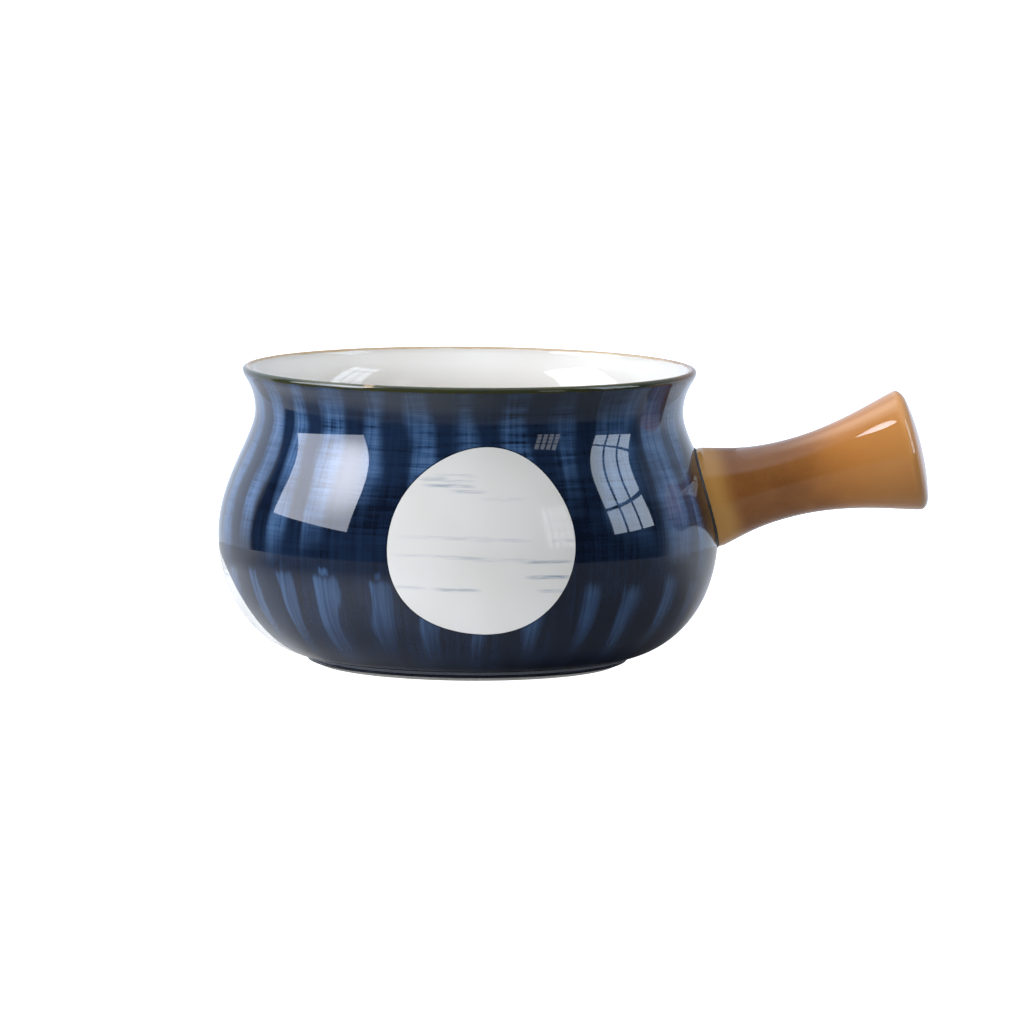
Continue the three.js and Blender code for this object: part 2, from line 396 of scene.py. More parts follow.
def bowlOutlines():
    s = bowlShape
    lipRound = s["lipThickness"] / 2
    lipCentre = spot(s["lipRadius"] - lipRound, s["rimHeight"] - lipRound)
    bandStart, bandEnd = 90 - s["rimBandSpread"], 90 + s["rimBandSpread"]
    footEdge = spot(footShape["radius"] + footShape["bareLine"], footShape["height"])
    floor = spot(s["floorRadius"], footShape["recessDepth"] + s["baseThickness"])
    belly, neck = spot(s["bellyRadius"], s["bellyHeight"]), spot(s["neckRadius"], s["neckHeight"])
    wall = spot(s["wallThickness"], 0)

    def upToBelly(start, startPull, belly):
        return bend(start, startPull, reach(belly, s["bellyUnderPull"], -90), belly, s["bellySteps"])

    def upToNeck(belly, neck):
        bellyPull, neckPull = reach(belly, s["bellyOverPull"], 90), reach(neck, s["neckUnderPull"], -90)
        return bend(belly, bellyPull, neckPull, neck, s["neckSteps"])

    def upToLip(neck, lip, lipAngle):
        neckPull, lipPull = reach(neck, s["neckOverPull"], 90), reach(lip, s["lipPull"], lipAngle)
        return bend(neck, neckPull, lipPull, lip, s["lipSteps"])

    outside = join(
        upToBelly(footEdge, reach(footEdge, s["footPull"], s["footPullRise"]), belly),
        upToNeck(belly, neck),
        upToLip(neck, reach(lipCentre, lipRound, -s["lipFlare"]), -90 - s["lipFlare"]),
        roundOff(lipCentre, lipRound, -s["lipFlare"], bandStart, s["edgeSteps"]),
    )
    rim = roundOff(lipCentre, lipRound, bandStart, bandEnd, s["rimSteps"])
    inside = join(
        straight(spot(0, floor[1]), floor, s["floorSteps"]),
        upToBelly(floor, reach(floor, s["floorPull"], 0), belly - wall),
        upToNeck(belly - wall, neck - wall),
        upToLip(neck - wall, rim[-1], bandEnd + 90),
    )
    return outside, rim, inside[::-1]


outsideLine, rimLine, insideLine = bowlOutlines()
bowl = Turning(join(outsideLine, rimLine, insideLine))
outsideEnd = bowl.run[len(outsideLine) - 1]
rimEnd = bowl.run[len(outsideLine) + len(rimLine) - 2]


def rowsBetween(start, end, spacing):
    return np.linspace(start, end, max(2, round((end - start) / spacing)) + 1)


def outsideRun(height):
    return np.interp(height, outsideLine[:, 1], runLength(outsideLine))


# Round white dots, each cut straight towards the bowl's axis. One that reaches the foot is cut off there.
# A hand cut wavers: waves round the edge, their height in mm, and the bearing of a crest in degrees.
# A mirror of -1 turns the streaks left to right.
dotShapes = [
    {"name": "dotFront", "node": "dot_front", "azimuth": -86.4, "height": 40.6, "radius": 25.5, "mirror": 1,
     "waver": [(2, 0.3, 32.0), (3, 0.55, -38.0), (5, 0.15, 4.0)]},
    {"name": "dotLeft", "node": "dot_left", "azimuth": -176.3, "height": 10.0, "radius": 22.0, "mirror": -1,
     "waver": [(2, 0.2, 80.0), (3, 0.3, 20.0)]},
    {"name": "dotBack", "node": "dot_back", "azimuth": 72.0, "height": 30.0, "radius": 25.5, "mirror": -1,
     "waver": [(2, 0.35, 120.0), (3, 0.4, 15.0)]},
]
dotSteps = 220


def dotEdge(dot, turns):
    waver = [size * np.cos(waves * (turns - math.radians(crest))) for waves, size, crest in dot["waver"]]
    return dot["radius"] + sum(waver)


def dotWindow(dot):
    azimuth = math.radians(dot["azimuth"])
    footLevel = outsideLine[0, 1]
    closed = dot["height"] - dot["radius"] > footLevel
    turns = np.linspace(-math.pi / 2, math.pi * 1.5, dotSteps + 1)[:-1]
    reachOut = dotEdge(dot, turns)
    upward = reachOut * np.sin(turns)
    if not closed:
        above = upward > footLevel - dot["height"]
        turns, reachOut, upward = turns[above], reachOut[above], upward[above]
        upward[[0, -1]] = footLevel - dot["height"]
    run = outsideRun(dot["height"] + upward)
    side = np.arcsin(reachOut * np.cos(turns) / bowl.radiusAt(run))
    edge = np.stack(((azimuth + side) * bowl.girth, run), 1)

    def within(places, margin):
        turn = places[:, 0] / bowl.girth - azimuth
        sideways = bowl.radiusAt(places[:, 1]) * np.sin(turn)
        upward = bowl.heightAt(places[:, 1]) - dot["height"]
        limit = dotEdge(dot, np.arctan2(upward, sideways)) + margin
        return (np.hypot(sideways, upward) < limit) & (np.cos(turn) > 0)

    return Window(edge, closed, within)


# Handle, turned about its own axis, which leaves the wall along +X and rises
handleShape = {
    "rootHeight": 47.15, "rise": 13.9, "rootRadius": 14.1, "waistRadius": 10.75, "waistAt": 22.0,
    "endRadius": 17.05, "length": 55.9, "endRound": 2.9, "endDome": 1.45, "rootPull": 6.0, "rootFlare": 12.3,
    "waistRootPull": 11.6, "waistEndPull": 15.4, "endPull": 4.9, "endFlare": 11.0, "domePull": 4.55,
    "domeSlope": 13.3, "seat": 0.7, "seatSearch": 8.0, "halvings": 40, "rootInset": 1.0,
    "ventRadius": 1.5, "ventAt": 15.0, "ventSteps": 40, "waistSteps": 80, "flareSteps": 120, "roundSteps": 14,
    "domeSteps": 24, "columns": 144, "seatRows": 9, "bodyRows": 90,
}


def handleOutline():
    s = handleShape
    root, waist = spot(s["rootRadius"], 0), spot(s["waistRadius"], s["waistAt"])
    flare = spot(s["endRadius"], s["length"])
    dome = spot(s["endRadius"] - s["endRound"], s["length"] + s["endRound"])
    tip = spot(0, dome[1] + s["endDome"])
    pull = s["endRound"] / 2
    rootPull = reach(root, s["rootPull"], 90 + s["rootFlare"])
    waistIn, waistOut = reach(waist, s["waistRootPull"], -90), reach(waist, s["waistEndPull"], 90)
    flareIn = reach(flare, s["endPull"], -90 - s["endFlare"])
    flareOut = reach(flare, pull, 90 - s["endFlare"])
    domeIn, domeOut = reach(dome, pull, -s["domeSlope"]), reach(dome, s["domePull"], 180 - s["domeSlope"])
    body = join(
        bend(root, rootPull, waistIn, waist, s["waistSteps"]),
        bend(waist, waistOut, flareIn, flare, s["flareSteps"]),
    )
    end = join(
        bend(flare, flareOut, domeIn, dome, s["roundSteps"]),
        bend(dome, domeOut, spot(s["domePull"], tip[1]), tip, s["domeSteps"]),
    )
    return body, end


def handleGrid():
    s = handleShape
    body, end = handleOutline()
    rise = math.radians(s["rise"])
    axis = np.array((math.cos(rise), 0, math.sin(rise)))
    down = np.array((math.sin(rise), 0, -math.cos(rise)))
    side = np.array((0, 1, 0))
    whole = join(body, end)
    tipReach = (whole[:, 0] * math.sin(rise) + whole[:, 1] * math.cos(rise)).max()
    root = np.array(((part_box("handle_glaze")[1].x - bowlAxis) / mm - tipReach, 0, s["rootHeight"]))
    turns = np.linspace(-math.pi, math.pi, s["columns"] + 1)
    spokes = np.cos(turns)[:, None] * down + np.sin(turns)[:, None] * side

    def out(distance, radius):
        return root + axis * distance[:, None] + spokes * radius[:, None]

    def bodyRadius(distance):
        return np.interp(distance, body[:, 1], body[:, 0])

    # Where a line along the handle meets the wall, found by halving
    def seatOn(radiusAt):
        low, high = np.full(len(turns), -s["seatSearch"]), np.full(len(turns), s["seatSearch"])
        for _ in range(s["halvings"]):
            middle = (low + high) / 2
            points = out(middle, radiusAt(middle))
            wall = bowl.radiusAt(outsideRun(points[:, 2]))
            outsideWall = np.hypot(points[:, 0], points[:, 1]) > wall
            high, low = np.where(outsideWall, middle, high), np.where(outsideWall, low, middle)
        return (low + high) / 2

    corner = seatOn(bodyRadius)
    footRadius = bodyRadius(corner) + s["seat"]
    wallFoot = out(seatOn(lambda distance: footRadius), footRadius)
    cornerPoint = out(corner, bodyRadius(corner))
    start = corner + s["seat"]
    bodyFoot = out(start, bodyRadius(start))
    rows = []
    for t in np.linspace(0, 1, s["seatRows"]):
        rows.append((1 - t) ** 2 * wallFoot + 2 * t * (1 - t) * cornerPoint + t * t * bodyFoot)
    for t in np.linspace(0, 1, s["bodyRows"] + 1)[1:]:
        distance = start + (s["length"] - start) * t
        rows.append(out(distance, bodyRadius(distance)))
    for radius, distance in end[1:]:
        rows.append(out(np.full(len(turns), distance), np.full(len(turns), radius)))
    points = np.array(rows)
    middles = points.mean(1)
    radii = np.linalg.norm(points - middles[:, None], axis=2).mean(1)
    along = runLength(middles + spokes[0] * radii[:, None])
    return Grid(points, turns * s["waistRadius"], along, axis), cornerPoint, root, axis


handle, rootRing, handleRoot, handleAxis = handleGrid()


# Window in the blue coat under the handle's root, a little inside the joint
def rootWindow():
    ring = rootRing[:-1]
    turn = np.arctan2(ring[:, 1], ring[:, 0])
    edge = np.stack((turn * bowl.girth, outsideRun(ring[:, 2])), 1)
    middle = edge.mean(0)
    away = edge - middle
    edge = middle + away * (1 - handleShape["rootInset"] / np.linalg.norm(away, axis=1, keepdims=True))
    bearing = np.arctan2(edge[:, 1] - middle[1], edge[:, 0] - middle[0])
    order = np.argsort(bearing)
    edge, bearing = edge[order], bearing[order]
    span = np.linalg.norm(edge - middle, axis=1)

    def within(places, margin):
        offset = places - middle
        limit = np.interp(np.arctan2(offset[:, 1], offset[:, 0]), bearing, span, period=2 * math.pi)
        return np.hypot(offset[:, 0], offset[:, 1]) < limit + margin

    return Window(edge, True, within)


# Small hole under the handle that lets air out in the kiln
def ventWindow():
    s = handleShape
    underside = handle.points[:, handle.points.shape[1] // 2]
    level = np.interp(s["ventAt"], (underside - handleRoot) @ handleAxis, handle.along)
    radii, distances = handleOutline()[0].T
    stretch = s["waistRadius"] / np.interp(s["ventAt"], distances, radii)
    edge = s["ventRadius"] * circle(wholeTurn(s["ventSteps"])) * (stretch, 1) + (0, level)

    def within(places, margin):
        return np.hypot(places[:, 0] / stretch, places[:, 1] - level) < s["ventRadius"] + margin

    return Window(edge, True, within)


print("outlines drawn, outside", round(outsideEnd, 1), "mm long")


# Place on a dot in mm, sideways and up from its middle, and how far out towards it
def onDot(dot, x, y, z):
    azimuth = math.radians(dot["azimuth"])
    sideways = y * math.cos(azimuth) - x * math.sin(azimuth)
    return sideways, z - dot["height"], x * math.cos(azimuth) + y * math.sin(azimuth)


# Blue coat: a dark ground, two sets of upright brush strokes that meet low on the belly, finer lines across.
# A pair is where something begins and where it is full, in mm or in shares of the radius along X or Y.
blueLook = {
    "deep": shade(12, 20, 36), "ground": shade(27, 44, 71), "stroke": shade(56, 89, 133),
    "pale": shade(110, 144, 188), "ironEdge": shade(58, 60, 34), "reflectedGrey": shade(37, 44, 54),
    "rust": shade(118, 80, 48), "ior": 1.52, "gloss": 0.03, "ripple": 0.03, "swell": 0.045, "grain": 0.35,
    "strokes": 29, "sway": 0.6, "fray": 0.16, "secondSeed": 60.5,
    "flank": (-0.98, -0.6), "leftSide": (-0.35, -0.75), "handleSide": (-0.1, 0.3), "nearHandle": (0.6, 0.8),
    "weftFrom": (30.0, 46.0), "washFrom": (48.0, 68.0), "lowShade": (40.0, 22.0), "handleWash": (32.0, 46.0),
    "rootShade": (8.0, 15.0), "veilFrom": (69.0, 80.0), "veilAcross": (-0.7, -0.1), "rimIron": (81.0, 81.8),
    "rustAcross": (0.85, 0.98), "dotLine": (0.5, 0.1),
    "lines": {  # how fine round the bowl, how fine upright, and the detail
        "down": (0.75, 0.03, 3.0), "downFine": (2.2, 0.05, 2.0), "across": (0.045, 0.75, 3.0),
        "acrossFine": (0.09, 2.4, 2.0), "wander": (0.06, 0.045, 1.0), "cloud": (0.06, 0.08, 2.0),
    },
    "upper": {  # widths of strokes are shares of their pitch
        "shift": 7.71, "handleShift": 0.6, "seed": 3.5, "half": 0.23, "vary": 0.12, "soft": 0.13,
        "end": 50.0, "reach": 15.0, "uneven": 10.0, "fadeBelow": 8.0, "fadeAbove": 10.0,
    },
    "lower": {
        "shift": 7.42, "seed": 40.5, "half": 0.14, "vary": 0.09, "soft": 0.05, "handleSoft": 0.08,
        "line": 0.045, "top": 29.5, "uneven": 4.0, "ragged": 2.5, "narrowing": (3.0, 28.0),
        "start": (-0.6, 1.6), "thinning": (5.0, 24.0), "beadGap": 1.2, "beadHalf": (0.12, 0.04),
        "beadTall": (1.6, 0.3), "beadChance": (0.3, 0.8),
    },
}


def makeBlueGlaze():
    look = blueLook
    f = newFinish("blueGlaze", look["ior"])
    place, (x, y, z) = f.bowlPlace()
    radius = (x * x + y * y) ** 0.5
    awayX, awayY = x / radius, y / radius
    turn = f.maths("ARCTAN2", y, x) / (2 * math.pi)
    flank, leftSide = f.ease(awayY, *look["flank"]), f.ease(awayX, *look["leftSide"])
    handleSide, nearHandle = f.ease(awayX, *look["handleSide"]), f.ease(awayX, *look["nearHandle"])

    def lines(sideways, upright, detail):
        girth = bowl.girth * sideways
        return f.noise(f.vector(awayX * girth, awayY * girth, z * upright), 1.0, detail, 0.55) - 0.5

    down, downFine, across, acrossFine, wander, cloud = [lines(*fine) for fine in look["lines"].values()]

    # How far a place is off its stroke's middle, -0.5 to 0.5 of the pitch, and two chances of that stroke
    def strokes(shift, seed):
        step = turn * look["strokes"] + shift + wander * look["sway"] + down * look["fray"]
        number = f.maths("FLOOR", step)
        own = f.maths("FLOORED_MODULO", number, look["strokes"]) + seed
        return step - number - 0.5, f.chance(own), f.chance(own + look["secondSeed"])

    # Upper strokes run down from the lip, further on the flanks than in front, and are wider near the handle
    s = look["upper"]
    side, luck, second = strokes(s["shift"] - nearHandle * s["handleShift"], s["seed"])
    half = s["half"] + (second - 0.5 + nearHandle) * s["vary"]
    band = f.ease(abs(side), half + s["soft"], half - s["soft"])
    end = s["end"] - flank * s["reach"] + (luck - 0.5) * s["uneven"]
    upper = band * f.ease(z, end - s["fadeBelow"], end + s["fadeAbove"])
    upper = upper * (0.56 + flank * 0.1 + second * 0.3 + cloud * 1.2)

    # Lower strokes have a flat top with light edges and a bead above it, and thin out towards the foot.
    # The light edges are partly the brush's own edge and partly painted highlight, brighter on the left. The
    # bead is pooled glaze with a painted highlight on it. Both fade out on the handle's side, where the
    # strokes are softer.
    s = look["lower"]
    side, luck, second = strokes(s["shift"], s["seed"])
    fall = s["top"] + (luck - 0.5) * s["uneven"] + down * s["ragged"] - z
    width = (s["half"] + second * s["vary"]) * (1 - f.ease(fall, *s["narrowing"]) * 0.4)
    soft = s["soft"] + handleSide * s["handleSoft"]
    band = f.ease(abs(side), width + soft, width - soft)
    # Painted highlight along the strokes' edges, stronger on the left edge
    leftEdgeGlint = f.ease(abs(side + width), s["line"] * 1.6, 0.0)
    rightEdgeGlint = f.ease(abs(side - width), s["line"], 0.0)
    (startLow, startHigh), (thinLow, thinHigh) = s["start"], s["thinning"]
    thin = f.ease(fall, thinLow + handleSide * 4, thinHigh + leftSide * 8) * 0.9
    fade = f.ease(fall, startLow, startHigh + handleSide * 2) * (1 - thin)
    body = band * (0.34 + handleSide * 0.06 - nearHandle * 0.15 - side * 0.5 + luck * 0.12)
    lower = (body + f.most(leftEdgeGlint, rightEdgeGlint * 0.6) * (1 - handleSide) * 0.3) * fade
    # Painted highlight: a light bead of glaze above each stroke's top
    beadGlint = f.ease(abs(side), *s["beadHalf"]) * f.ease(abs(fall + s["beadGap"]), *s["beadTall"])
    beadGlint = beadGlint * (1 - handleSide) * f.ease(second, *s["beadChance"])

    # Ground and strokes take their tone from the brush lines
    weave = down * 1.5 + downFine * 0.6
    weft = (across * 1.8 + acrossFine * 0.8) * f.ease(z, *look["weftFrom"]) * (1 - flank * 0.55)
    # The ground is lighter towards the top, and painted shade darkens it low on the handle's side
    riseAndLowShade = f.ease(z, *look["washFrom"]) * 0.45 - handleSide * f.ease(z, *look["lowShade"]) * 0.38
    groundTone = f.ease(weave + weft + cloud * 1.2 + riseAndLowShade, -0.6, 0.75)
    strokeTone = f.ease(weave * 0.8 + weft * 0.9 + cloud * 0.6 + flank * 0.15, -0.25, 0.95)
    cover = f.most(upper, lower) * f.ease(weave * 0.9 + weft * 1.4, -0.8, 0.0) + beadGlint * 0.6
    cover = cover + nearHandle * f.ease(z, *look["handleWash"]) * (0.2 + cloud * 0.6)

    # Painted shade round the handle's joint: the wall darkens to the deep colour and loses its strokes, for
    # the handle's dark reflection and shade there
    behind = f.maths("LESS_THAN", x, 0.0) * bowlShape["bellyRadius"]
    fromJoint = (y * y + (z - handleShape["rootHeight"]) ** 2.0) ** 0.5 - handleShape["rootRadius"] + behind
    clear = f.ease(fromJoint, *look["rootShade"])
    ground = f.tint(groundTone * clear, look["deep"], look["ground"])
    stroke = f.tint(strokeTone, look["stroke"], look["pale"])
    colour = f.tint(f.most(cover * clear, 0), ground, stroke)
    # Painted reflection: a grey haze over the neck, strongest just under the lip, less on the left and near
    # the handle
    reflectionVeil = f.ease(z + cloud * 6, *look["veilFrom"]) * (0.38 + f.ease(awayX, *look["veilAcross"]) * 0.44)
    colour = f.tint(reflectionVeil * (1 - nearHandle * 0.7), colour, look["reflectedGrey"])

    # An iron-brown stain at the lip and a dark line round every dot
    rusty = f.ease(awayX, *look["rustAcross"])
    iron = f.tint(rusty, look["ironEdge"], look["rust"])
    colour = f.tint(f.ease(z + down * 1.2 + rusty * 0.7, *look["rimIron"]), colour, iron)
    for dot in dotShapes:
        sideways, upward, outward = onDot(dot, x, y, z)
        bearing = f.maths("ARCTAN2", upward, sideways)
        gap = (sideways * sideways + upward * upward) ** 0.5 - dot["radius"]
        for waves, size, crest in dot["waver"]:
            gap = gap - f.maths("COSINE", (bearing - math.radians(crest)) * waves) * size
        facing = f.maths("GREATER_THAN", outward, 0.0)
        colour = f.tint(f.ease(gap, *look["dotLine"]) * facing * 0.8, colour, look["deep"])

    ripple = f.noise(place, look["swell"]) + f.noise(place, look["grain"], 1.0) * 0.03
    return f.glaze(colour, look["gloss"] + abs(wander) * 0.03, ripple, look["ripple"])


# White dots with rows of thin dry brush streaks. A row is its place up and to the right and half its length,
# in mm, and its strength.
dotLook = {
    "white": shade(234, 234, 232), "warm": shade(229, 229, 224), "streak": shade(96, 122, 156),
    "ior": 1.52, "gloss": 0.045, "ripple": 0.03, "swell": 0.045,
    "rows": [
        (18.4, -8.0, 8.0, 0.35), (17.4, -13.0, 5.5, 0.6), (16.8, -6.5, 6.0, 0.4), (15.6, -9.0, 8.5, 0.8),
        (14.2, -4.0, 6.5, 0.5), (12.4, 5.5, 8.0, 0.2), (1.9, -10.0, 16.0, 0.28), (1.4, 5.0, 10.0, 0.3),
        (1.3, 22.5, 4.5, 0.6), (-3.3, -10.0, 16.0, 0.4), (-3.8, 6.0, 12.0, 0.3), (-4.3, 18.0, 9.0, 0.7),
        (-8.5, 18.5, 8.0, 1.0), (-12.1, -20.0, 6.0, 0.4), (-12.2, -7.0, 8.0, 0.75), (-12.4, 20.0, 6.0, 0.65),
    ],
    "line": (0.736, 0.138), "wave": 1.0, "slow": 0.05, "tilt": 0.012, "warmFrom": (-0.3, 0.3),
    "dry": (0.2, 4.0, 3.0), "split": (0.11, 1.6, 7.0), "scratch": (0.68, 0.85), "broken": (0.36, 0.62),
}


def makeDotGlaze(dot):
    look = dotLook
    f = newFinish(dot["name"] + "Glaze", look["ior"])
    place, parts = f.bowlPlace()
    sideways, upward, _ = onDot(dot, *parts)
    sideways = sideways * dot["mirror"]
    slow = f.noise(f.vector(sideways * look["slow"], upward * look["slow"], 0.0), 1.0, 1.0) - 0.5
    level = upward + slow * look["wave"] + sideways * look["tilt"]

    # Bristle marks: how fine sideways and upright, and which slice of the noise
    def bristles(fineAcross, fineUp, layer):
        return f.noise(f.vector(sideways * fineAcross, upward * fineUp, layer), 1.0, 2.0, 0.6)

    dry, split = bristles(*look["dry"]), bristles(*look["split"])
    streak = f.ease(dry * 0.5 + split * 0.6, *look["scratch"]) * 0.2
    broken = f.ease(dry * 0.4 + split * 0.6, *look["broken"])
    for up, right, half, strength in look["rows"]:
        brush = f.ease(abs(level - up), *look["line"]) * f.ease(abs(sideways - right), half, half * 0.35)
        streak = f.most(streak, brush * broken * strength)
    colour = f.tint(f.ease(slow, *look["warmFrom"]), look["white"], look["warm"])
    colour = f.tint(streak * 0.75, colour, look["streak"])
    return f.glaze(colour, look["gloss"] + streak * 0.1, f.noise(place, look["swell"]), look["ripple"])


# White coat inside and under the foot
whiteLook = {
    "white": shade(240, 238, 233), "shadow": shade(233, 230, 224), "speck": shade(160, 150, 135),
    "cloud": 0.03, "cloudFrom": (0.35, 0.7), "fine": 0.9, "speckFrom": (0.8, 0.86),
    "ior": 1.52, "gloss": 0.004, "ripple": 0.02, "swell": 0.05,
}


def makeWhiteGlaze():
    look = whiteLook
    f = newFinish("whiteGlaze", look["ior"])
    place, _ = f.bowlPlace()
    speck = f.ease(f.noise(place, look["fine"], 1.0), *look["speckFrom"])
    cloud = f.ease(f.noise(place, look["cloud"]), *look["cloudFrom"])
    colour = f.tint(cloud, look["white"], look["shadow"])
    colour = f.tint(speck * 0.15, colour, look["speck"])
    return f.glaze(colour, look["gloss"] + speck * 0.1, f.noise(place, look["swell"]), look["ripple"])


# Iron line on the lip: dark olive outside, tan on the crest, thinning out to the white inside.
# The pairs named From are places across the lip, -1 outside and 1 inside.
rimLook = {
    "blue": shade(26, 40, 62), "olive": shade(62, 67, 35), "brown": shade(108, 90, 50),
    "tan": shade(198, 168, 128), "white": shade(238, 236, 230), "rust": shade(138, 92, 54),
    "oliveFrom": (-1.0, -0.75), "brownFrom": (-0.4, -0.1), "tanFrom": (-0.05, 0.25), "whiteFrom": (0.6, 1.0),
    "rustAcross": (0.86, 0.98), "glintAzimuth": -115.5, "glintWidth": 1.9, "smear": 0.11,
    "ior": 1.5, "gloss": 0.16, "ripple": 0.03,
}


def makeBrownGlaze():
    look = rimLook
    f = newFinish("brownGlaze", look["ior"])
    place, (x, y, _) = f.bowlPlace()
    radius = (x * x + y * y) ** 0.5
    awayX = x / radius
    lipRound = bowlShape["lipThickness"] / 2
    smear = f.noise(place, look["smear"], 3.0, 0.6) - 0.5
    inward = (bowlShape["lipRadius"] - lipRound - radius) / lipRound + smear * 0.5
    colour = f.tint(f.ease(inward, *look["oliveFrom"]), look["blue"], look["olive"])
    colour = f.tint(f.ease(inward + awayX * 0.25, *look["brownFrom"]), colour, look["brown"])
    colour = f.tint(f.ease(inward - awayX * 0.2, *look["tanFrom"]), colour, look["tan"])
    colour = f.tint(f.ease(awayX, *look["rustAcross"]) * 0.75, colour, look["rust"])

    # Painted highlight: one short stretch of the lip's iron line is lighter, towards tan
    offGlint = abs(f.maths("DEGREES", f.maths("ARCTAN2", y, x)) - look["glintAzimuth"])
    lipGlint = f.ease(offGlint + smear * 6, look["glintWidth"], look["glintWidth"] / 2)
    colour = f.tint(lipGlint * 0.7, colour, look["tan"])
    colour = f.tint(f.ease(inward, *look["whiteFrom"]), colour, look["white"])
    return f.glaze(colour, look["gloss"] + smear * 0.1, smear, look["ripple"])


# Dark line round the foot ring
navyLook = {
    "navy": shade(32, 41, 62), "worn": shade(60, 68, 86), "wear": 0.4, "wornFrom": (0.55, 0.8),
    "ior": 1.52, "gloss": 0.12, "ripple": 0.02,
}


def makeNavyGlaze():
    look = navyLook
    f = newFinish("navyGlaze", look["ior"])
    place, _ = f.bowlPlace()
    wear = f.noise(place, look["wear"], 3.0, 0.6)
    colour = f.tint(f.ease(wear, *look["wornFrom"]), look["navy"], look["worn"])
    return f.glaze(colour, look["gloss"] + wear * 0.1, wear, look["ripple"])


# Caramel coat on the handle: a dark line at the wall, an olive pool there that is partly pooled glaze and
# partly painted light, a brown waist that is painted shade, and a lighter end and cap that are painted light.
# Spans are distances in mm from the waist or from the end.
caramelLook = {
    "line": shade(20, 22, 28), "olive": shade(184, 137, 74), "waist": shade(128, 81, 42),
    "caramel": shade(188, 124, 62), "light": shade(207, 149, 86), "lineWidth": 0.48, "litPool": 9.5,
    "waistSpan": (-2.0, 20.0), "endSpan": (-22.0, 0.0), "capSpan": (-1.0, 1.5), "drift": 10.0,
    "mottle": 0.07, "grain": 0.8, "lightFrom": (-0.15, 0.3), "wallMargin": 3.0,
    "ior": 1.6, "gloss": 0.035, "ripple": 0.012, "swell": 0.05,
}


def makeCaramelGlaze():
    look = caramelLook
    s = handleShape
    f = newFinish("caramelGlaze", look["ior"])
    place, (x, y, z) = f.bowlPlace()
    fromRoot = f.vectorMaths("SUBTRACT", place, tuple(handleRoot))
    along = f.vectorMaths("DOT_PRODUCT", fromRoot, tuple(handleAxis), 1)

    # Distance out from the wall, whose radius near the root is a cubic in height
    near = abs(outsideLine[:, 1] - s["rootHeight"]) < s["rootRadius"] + look["wallMargin"]
    bow = np.polyfit(outsideLine[near, 1] - s["rootHeight"], outsideLine[near, 0], 3)
    up = z - s["rootHeight"]
    fromWall = (x * x + y * y) ** 0.5 - (((up * bow[0] + bow[1]) * up + bow[2]) * up + bow[3])

    mottle, grain = f.noise(place, look["mottle"], 3.0) - 0.5, f.noise(place, look["grain"]) - 0.5
    shifted = along + mottle * look["drift"]
    # Painted shade: the brown waist
    colour = f.tint(f.ease(shifted - s["waistAt"], *look["waistSpan"]), look["waist"], look["caramel"])
    # Painted light: lighter towards the end and on the cap
    colour = f.tint(f.ease(shifted - s["length"], *look["endSpan"]) * 0.35, colour, look["light"])
    colour = f.tint(f.ease(along - s["length"], *look["capSpan"]) * 0.8, colour, look["light"])
    # Olive pool at the wall: partly pooled glaze, partly painted light
    colour = f.tint(f.ease(fromWall + mottle * 4, look["litPool"], look["litPool"] * 0.3), colour, look["olive"])
    colour = f.tint(f.ease(mottle + grain * 0.3, *look["lightFrom"]) * 0.12, colour, look["light"])
    line = f.ease(fromWall + grain * 0.2, look["lineWidth"], look["lineWidth"] * 0.75)
    colour = f.tint(line, colour, look["line"])
    return f.glaze(colour, look["gloss"] + line * 0.5, f.noise(place, look["swell"]), look["ripple"])


# Bare fired clay, seen on the foot and down the vent. Above the foot's dark line it is painted a bluish grey,
# a painted reflection of the floor along the glaze's lower edge.
clayLook = {
    "pale": shade(208, 208, 206), "dark": shade(176, 176, 174), "thin": shade(116, 124, 140),
    "speck": shade(110, 98, 84), "thinFrom": (-0.1, 0.0), "thinTo": (1.0, 0.5), "tooth": 2.2,
    "darkFrom": (0.35, 0.7), "fine": 1.1, "speckFrom": (0.66, 0.72),
    "ior": 1.5, "rough": 0.75, "ripple": 0.08,
}


def makeClay():
    look = clayLook
    f = newFinish("bareStoneware", look["ior"])
    place, (_, _, z) = f.bowlPlace()
    tooth = f.noise(place, look["tooth"], 4.0, 0.65)
    speck = f.ease(f.noise(place, look["fine"]), *look["speckFrom"])
    colour = f.tint(f.ease(tooth, *look["darkFrom"]), look["pale"], look["dark"])
    colour = f.tint(speck * 0.5, colour, look["speck"])
    # Painted reflection: bluish grey between the foot's dark line and the blue coat
    aboveBand, aboveFoot = z - footShape["bandHigh"], z - footShape["height"]
    thin = f.ease(aboveBand, *look["thinFrom"]) * f.ease(aboveFoot, *look["thinTo"])
    colour = f.tint(thin * 0.9, colour, look["thin"])
    return f.glaze(colour, look["rough"] + tooth * 0.15, tooth, look["ripple"])


blueGlaze, whiteGlaze, brownGlaze = makeBlueGlaze(), makeWhiteGlaze(), makeBrownGlaze()
navyGlaze, caramelGlaze, clay = makeNavyGlaze(), makeCaramelGlaze(), makeClay()
dotGlazes = [makeDotGlaze(dot) for dot in dotShapes]
print("finishes mixed")


